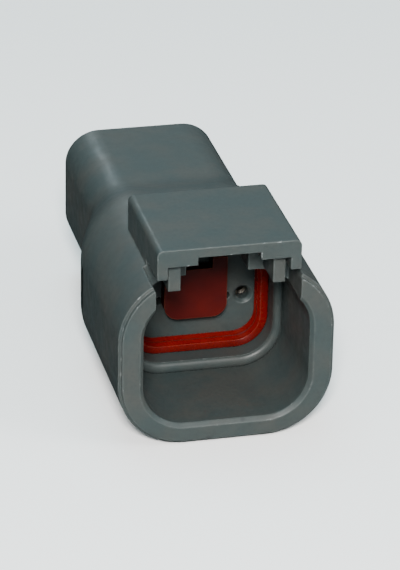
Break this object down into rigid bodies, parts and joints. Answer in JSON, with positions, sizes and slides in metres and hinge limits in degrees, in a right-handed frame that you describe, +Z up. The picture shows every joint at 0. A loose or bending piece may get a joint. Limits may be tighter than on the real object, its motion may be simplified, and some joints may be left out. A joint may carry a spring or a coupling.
{
  "type": "sealed automotive connector",
  "caption": "Sealed wire connector with a rounded mating shroud, a latch hood on top, a red pull-out secondary lock and a sealed rear wire tower.",
  "frame": {"origin": "on the plane the shroud rests on, under the middle of the overall length and width", "axes": "+Z up, -Y out of the mating mouth, +Y towards the wire end, +X to the right seen from the mouth"},
  "size_m": [0.02, 0.0376, 0.0196],
  "materials": {
    "moulded_grey": "satin moulded nylon, blue-green grey",
    "seal_rubber": "soft glossy silicone, orange red",
    "signal_red": "moulded thermoplastic, orange red",
    "contact_plating": "plated copper alloy, turned",
    "sleeve_steel": "drawn stainless steel"
  },
  "bodies": {
    "housing_body": {"housing": "moulded_grey", "cavity_seal": "seal_rubber", "wire_seal": "seal_rubber", "left_contact": "contact_plating", "right_contact": "contact_plating", "left_contact_sleeve": "sleeve_steel", "right_contact_sleeve": "sleeve_steel"},
    "lock_body": {"secondary_lock": "signal_red"}
  },
  "joints": [
    {"name": "lock_slide", "type": "slide", "parent": "housing_body", "child": "lock_body", "axis": [0, -1, 0], "range_m": [0, 0.003]}
  ]
}
